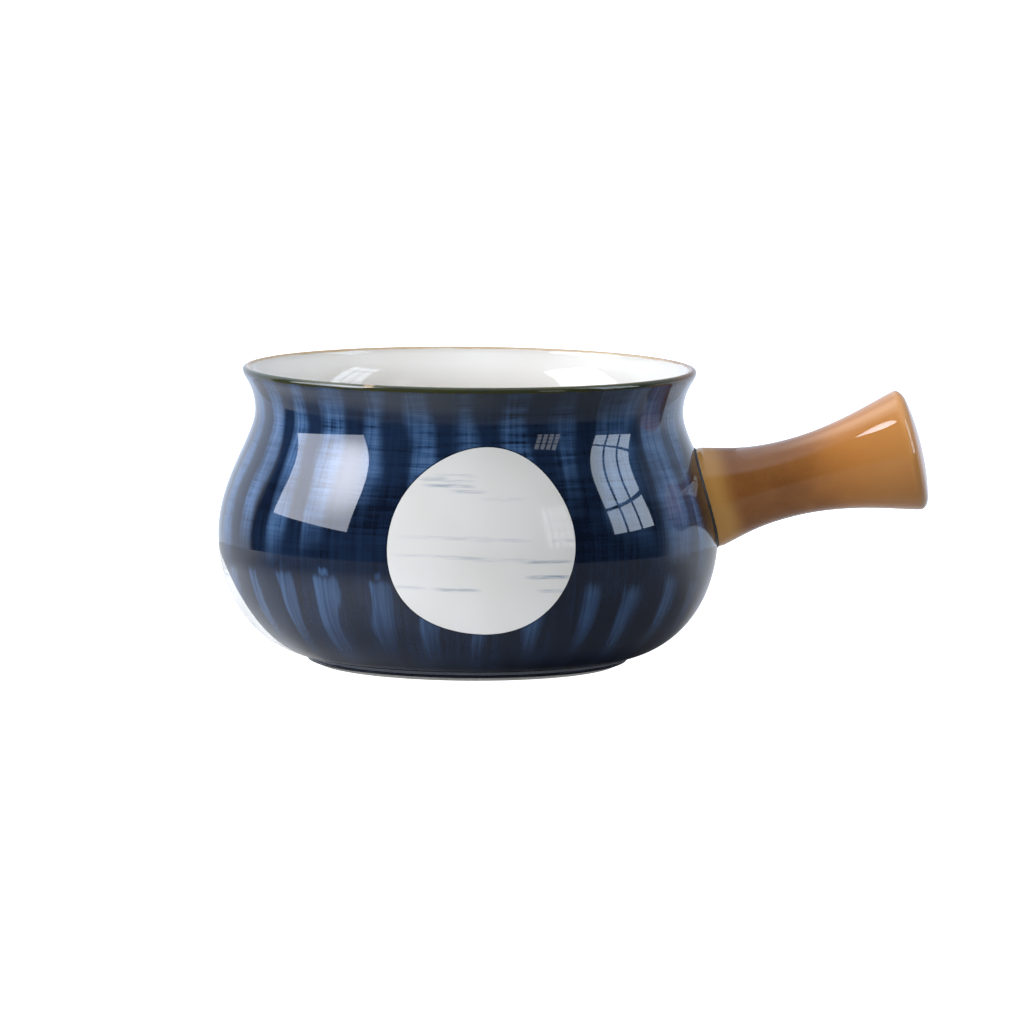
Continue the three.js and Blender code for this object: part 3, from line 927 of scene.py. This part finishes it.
# Clay of the bowl under its coats, on a foot ring with a groove for the dark line
def makeBowlBody():
    depth = coatShape["thickness"] + coatShape["gap"]
    sunk = bowl.points - bowl.facing * depth
    sunk[-1] = spot(0, sunk[-1, 1])
    s = footShape
    soft = s["softEdge"]
    inner, outer = s["radius"] - s["width"], s["radius"]
    ceiling = s["recessDepth"] + depth
    low, high = s["bandLow"] - coatShape["gap"] / 4, s["bandHigh"] + coatShape["gap"] / 4
    heel = outer - s["taper"]
    foot = [
        (0, ceiling), (inner, ceiling), (inner, s["chamfer"]), (inner + soft, soft),
        (inner + s["chamfer"], 0), (heel, 0), (heel + 2 * soft, soft), (outer - 2 * soft, low - soft),
        (outer, low), (outer - depth, low), (outer - depth, high), (outer, high), (outer, s["height"]),
        (outer - soft, s["height"] + soft), (outer - soft, sunk[0, 1]),
    ]
    outline = np.concatenate((np.array(foot), sunk[::s["clayRows"]], sunk[-1:]))  # clay keeps every few rows
    return turnedSolid("bowlBody", outline, s["segments"], s["sharpAngle"])


dress(makeBowlBody(), clay, "stoneware", "bowl_body")
dots = [dotWindow(dot) for dot in dotShapes]
columns = bowl.columns(bowlShape["columns"])
rows = rowsBetween(0, outsideEnd, bowlShape["rowSpacing"])
thick = coatShape["thickness"]
coat = skin("outerGlaze", drape(bowl, columns, rows, dots + [rootWindow()]), thick)
dress(coat, blueGlaze, "blue_glaze", "outer_glaze")
for dot, window, dotGlaze in zip(dotShapes, dots, dotGlazes):
    disc = skin(dot["name"], drape(bowl, columns, rows, only=window), thick)
    dress(disc, dotGlaze, "dot_glaze", dot["node"])
rim = skin("rimBand", drape(bowl, columns, rowsBetween(outsideEnd, rimEnd, bowlShape["rimSpacing"])), thick)
dress(rim, brownGlaze, "brown_glaze", "rim_band")
insideRows = rowsBetween(rimEnd, bowl.run[-1], bowlShape["insideSpacing"])
inside = skin("innerGlaze", drape(bowl, bowl.columns(bowlShape["insideColumns"]), insideRows), thick)
dress(inside, whiteGlaze, "white_glaze", "inner_glaze")
print("bowl built")


# Closed ring of glaze with softened edges, for the foot's dark line
def makeFootBand():
    s = footShape
    soft, steps = s["softEdge"], s["softSteps"]
    low, high = spot(s["radius"], s["bandLow"] + soft), spot(s["radius"], s["bandHigh"] - soft)
    face = join(
        straight(low - soft, low, steps),
        straight(low, high, steps),
        straight(high, high + (-soft, soft), steps),
    )
    line = Turning(face)
    return skin("footBand", drape(line, line.columns(s["segments"]), line.run), s["bandThickness"])


dress(makeFootBand(), navyGlaze, "navy_glaze", "foot_band")


# Flat white coat in the recess under the foot
def makeBaseGlaze():
    s = footShape
    edge = s["radius"] - s["width"] - s["recessGap"]
    line = Turning(straight(spot(0, s["recessDepth"]), spot(edge, s["recessDepth"]), s["recessSteps"]))
    return skin("baseGlaze", drape(line, line.columns(s["recessSegments"]), line.run), thick)


dress(makeBaseGlaze(), whiteGlaze, "white_glaze", "base_glaze")
grip = skin("handleGlaze", drape(handle, handle.across, handle.along, [ventWindow()]), thick)
dress(grip, caramelGlaze, "caramel_glaze", "handle_glaze")
for node in ("handle_core", "handle_slip"):
    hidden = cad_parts[node]
    hidden.data.materials.clear()
    hidden.data.materials.append(clay)
print("handle built")


# Studio, in metres. Bearings are degrees from the camera's side towards the handle, heights degrees up.
studio = {
    "middle": 0.04, "distance": 1.6, "leftEdge": (116.0, 123.0), "rightEdge": (97.0, 116.0),
    "farEdge": (140.0, 178.0), "back": 1.0, "rightShare": 0.92, "rightDim": (-3.0, 14.0), "rightHigh": 0.5,
    "backTint": (0.87, 0.98, 1.17), "room": (0.012, 0.014, 0.018), "ceiling": 0.7,
    "ceilingFrom": (46.0, 62.0),
}
# Lights that the glaze mirrors
softbox = {
    "bearing": (-103.0, -57.0), "height": (12.0, 52.0), "glow": 19.0, "tint": (0.92, 0.97, 1.1),
    "hotSpot": (-70.0, 37.0), "reach": 0.6, "fall": 0.68,
}
overhead = {
    "over": 1.25, "wide": (-1.3, -0.05), "deep": (0.0, 1.1), "glow": 2.7, "tint": (1.0, 0.98, 0.93),
    "hotSpot": (-130.0, 55.0), "reach": 0.75, "fall": 1.0,
}
windows = {
    "window": {
        "bearing": (70.0, 96.0), "columns": 3, "rows": (9.0, 23.0, 45.5, 52.0), "bar": 0.65,
        "glow": 5.0, "tint": (0.84, 0.97, 1.13),
    },
    "smallWindow": {
        "bearing": (36.0, 49.5), "columns": 4, "rows": (4.0, 10.0, 17.0, 23.0, 30.0), "bar": 0.5,
        "glow": 2.2, "tint": (0.95, 0.98, 1.05),
    },
}
# Wide panels that light the colours alone: bearing, height, width and length, power, colour
panels = {
    "keyLight": (-72.0, 30.0, (1.3, 1.2), 12.4, (0.97, 0.98, 1.04)),
    "sideLight": (86.0, 58.0, (0.9, 1.0), 7.0, (1.0, 0.99, 0.96)),
    "frontLight": (-33.0, 36.0, (1.4, 0.9), 9.5, (1.0, 1.0, 1.0)),
    "edgeLight": (-126.0, 4.0, (0.9, 0.6), 2.6, (0.97, 0.99, 1.03)),
    "topLight": (0.0, 89.0, (1.6, 1.6), 3.2, (1.0, 0.99, 0.97)),
}
# A narrow lamp that lifts the handle out of the bowl's shade
handleLamp = {
    "bearing": 28.0, "height": 28.0, "reachOut": 36.0, "spread": 5.6, "softness": 0.04, "power": 33.0,
}
studioMiddle = np.array((bowlAxis, 0, studio["middle"]))


def direction(bearing, height):
    a, e = math.radians(bearing), math.radians(height)
    return np.array((math.sin(a) * math.cos(e), -math.cos(a) * math.cos(e), math.sin(e)))


def stageMesh(name, points, faces, material):
    mesh = bpy.data.meshes.new(name)
    mesh.from_pydata(points.tolist(), [], faces)
    mesh.materials.append(material)
    piece = stand(name, mesh)
    return piece


def stageFinish(name, tone, glow, tint=(1, 1, 1)):
    f = newFinish(name, 1.5)
    f.paint({
        "Base Color": (tone, tone, tone, 1), "Roughness": 0.9, "Specular IOR Level": 0.0,
        "Emission Color": (*tint, 1), "Emission Strength": glow,
    })
    return f


# A point of the studio as it is seen from the bowl
def skyPoint(bearing, height):
    return studioMiddle + studio["distance"] * direction(bearing, height)


def skyPatch(bearings, heights):
    corners = ((0, 0), (1, 0), (1, 1), (0, 1))
    return np.array([skyPoint(bearings[i], heights[k]) for i, k in corners])


# A light that only the glaze's mirror shows
def mirrorLight(name, patches, material):
    faces = [tuple(range(4 * i, 4 * i + 4)) for i in range(len(patches))]
    light = stageMesh(name, np.concatenate(patches), faces, material)
    light.visible_camera = light.visible_diffuse = light.visible_shadow = False


def panes(light):
    wide = np.linspace(*light["bearing"], light["columns"] + 1)
    rows, bar = light["rows"], light["bar"]
    return [
        skyPatch((wide[i] + bar, wide[i + 1] - bar), (rows[k] + bar, rows[k + 1] - bar))
        for i in range(light["columns"]) for k in range(len(rows) - 1)
    ]


# A lit cloth shows most where its lamp stands and thins out towards its edges
def clothFinish(name, light):
    f = stageFinish(name, 0.0, light["glow"], light["tint"])
    gap = f.vectorMaths("DISTANCE", f.framePlace(), tuple(skyPoint(*light["hotSpot"])), 1)
    f.paint({"Alpha": 1 - f.ease(gap, 0.0, light["reach"]) * light["fall"]})
    return f.owner


def hangMirrors():
    softboxPatch = skyPatch(softbox["bearing"], softbox["height"])
    mirrorLight("softboxMirror", [softboxPatch], clothFinish("softboxGlow", softbox))
    (left, right), (near, far) = overhead["wide"], overhead["deep"]
    corners = ((left, near), (right, near), (right, far), (left, far))
    overheadPatch = np.array([(x, y, overhead["over"]) for x, y in corners])
    mirrorLight("overheadMirror", [overheadPatch], clothFinish("overheadGlow", overhead))
    for name, light in windows.items():
        glow = stageFinish(name + "Glow", 0.0, light["glow"], light["tint"])
        mirrorLight(name + "Mirror", panes(light), glow.owner)


# A lamp that neither the camera nor the glaze's mirror shows
def hangLamp(name, lamp, bearing, height, aim):
    hung = stand(name, lamp)
    away = Vector(direction(bearing, height))
    turned = away.to_track_quat("Z", "Y").to_matrix().to_4x4()
    hung.matrix_world = Matrix.Translation(Vector(aim) + away * studio["distance"]) @ turned
    hung.visible_glossy = hung.visible_camera = False


def hangLamps():
    for name, (bearing, height, size, power, colour) in panels.items():
        panel = bpy.data.lights.new(name, "AREA")
        panel.shape = "RECTANGLE"
        panel.size, panel.size_y = size
        panel.energy = power
        panel.color = colour
        hangLamp(name, panel, bearing, height, studioMiddle)
    s = handleLamp
    beam = bpy.data.lights.new("handleLight", "SPOT")
    beam.energy = s["power"]
    beam.spot_size = math.radians(s["spread"])
    beam.spot_blend = 1.0
    beam.shadow_soft_size = s["softness"]
    gripMiddle = (handleRoot + handleAxis * s["reachOut"]) * mm + (bowlAxis, 0, 0)
    hangLamp("handleLight", beam, s["bearing"], s["height"], gripMiddle)


hangMirrors()
hangLamps()


# The camera sees the wide floor, the glaze mirrors the sheet of paper, the bounce sheet lights from below.
# The paper runs up into the white backdrop behind, so it is brighter there; beside the bowl on the left it
# carries a painted pool of light.
# Levels are in mm.
floorLook = {
    "radius": 6.0, "tone": 0.9, "glow": 1.0, "level": -0.2, "paperRadius": 0.29, "paperTone": 0.22,
    "paperBackTone": 0.95, "paperLevel": -0.1, "paperBack": (-0.04, 0.08), "paperLeft": (0.06, -0.08),
    "paperNear": (0.2, 0.1), "bounceMiddle": -0.28, "bounceRadius": 0.4, "bounceTone": 0.85,
    "bounceGlow": 0.26, "bounceLevel": -0.15, "segments": 96,
}


def layDisc(name, middle, radius, level, material):
    flat = radius * circle(wholeTurn(floorLook["segments"])) + (middle, 0)
    points = np.column_stack((flat, np.full(len(flat), level * mm)))
    return stageMesh(name, points, [tuple(range(len(points)))], material)


def paperFinish():
    s = floorLook
    front, back = s["paperTone"], s["paperBackTone"]
    f = stageFinish("paperSheet", front, 0.0)
    place = f.framePlace()
    across, depth, _ = f.parts(place)
    left = f.ease(across - bowlAxis, *s["paperLeft"])
    near = f.ease(f.vectorMaths("DISTANCE", place, (bowlAxis, 0, 0), 1), *s["paperNear"])
    # Painted pool of light: brighter near the bowl on the left, where the key light falls
    bright = f.ease(depth, *s["paperBack"]) * 0.68 + left * (near * 0.9 - 0.05)
    f.paint({"Base Color": f.tint(bright, (front, front, front, 1), (back, back, back, 1))})
    return f.owner


def layFloor():
    s = floorLook
    floorFinish = stageFinish("paleFloor", s["tone"], s["glow"]).owner
    floor = layDisc("paleFloor", bowlAxis, s["radius"], s["level"], floorFinish)
    floor.visible_glossy = floor.visible_diffuse = False
    paper = layDisc("paperSheet", bowlAxis, s["paperRadius"], s["paperLevel"], paperFinish())
    paper.visible_camera = paper.visible_shadow = paper.visible_diffuse = False
    bounceFinish = stageFinish("bounceSheet", s["bounceTone"], s["bounceGlow"]).owner
    bounceAt = bowlAxis + s["bounceMiddle"]
    bounce = layDisc("bounceSheet", bounceAt, s["bounceRadius"], s["bounceLevel"], bounceFinish)
    bounce.visible_camera = bounce.visible_shadow = bounce.visible_glossy = False


# White to the camera. The glaze mirrors a dark room, a bright backdrop behind and a pale ceiling.
def makeWorld():
    scene.world = bpy.data.worlds.new("studioAir")
    f = Finish(scene.world)
    x, y, z = f.parts(f.node("TexCoord", {}, {}, 0))
    bearing = f.maths("DEGREES", f.maths("ARCTAN2", x, y * -1))
    height = f.maths("DEGREES", f.maths("ARCSINE", z))
    share = studio["rightShare"]
    leftBack = f.ease(bearing * -1, *studio["leftEdge"])
    right, far = f.ease(bearing, *studio["rightEdge"]), f.ease(bearing, *studio["farEdge"])
    dim = 1 - f.ease(height, *studio["rightDim"]) * studio["rightHigh"]
    rightBack = (right * share + far * (1 - share)) * dim
    ceiling = f.ease(height, *studio["ceilingFrom"]) * studio["ceiling"]
    bright = f.most(f.most(leftBack, rightBack) * studio["back"], ceiling)
    air = f.vectorMaths("ADD", f.scaled(studio["backTint"], bright), studio["room"])
    seen = f.node("LightPath", {}, {}, 0)
    f.feed(f.tree.nodes["Background"], {"Color": f.tint(seen, air, (1, 1, 1, 1))})


layFloor()
makeWorld()
print("studio lit")


# Camera: bearing 0, a little above level, a long lens, a touch of roll. Right and up are pixels of the frame.
cameraLook = {
    "distance": 2.191, "height": 6.363, "aimUp": 40.0, "lens": 275.0, "sensor": 36.0, "farthest": 50.0,
    "roll": 0.537, "frame": 1024, "right": 43.7, "up": 7.4,
}


def makeCamera():
    s = cameraLook
    camera = bpy.data.cameras.new("photoCamera")
    camera.lens = s["lens"]
    camera.sensor_width = s["sensor"]
    camera.clip_end = s["farthest"]
    eye = stand("photoCamera", camera)
    aim = Vector((bowlAxis, 0, s["aimUp"] * mm))
    back = Vector(direction(0, s["height"]))
    level = (-back).to_track_quat("-Z", "Y").to_matrix()
    turned = level @ Matrix.Rotation(math.radians(s["roll"]), 3, "Z")
    perPixel = s["distance"] * s["sensor"] / s["lens"] / s["frame"]
    aside = turned @ Vector((s["right"], s["up"], 0)) * perPixel
    eye.matrix_world = Matrix.Translation(aim + back * s["distance"] + aside) @ turned.to_4x4()
    scene.camera = eye


makeCamera()
scene.view_settings.view_transform = "Standard"
print("camera set")
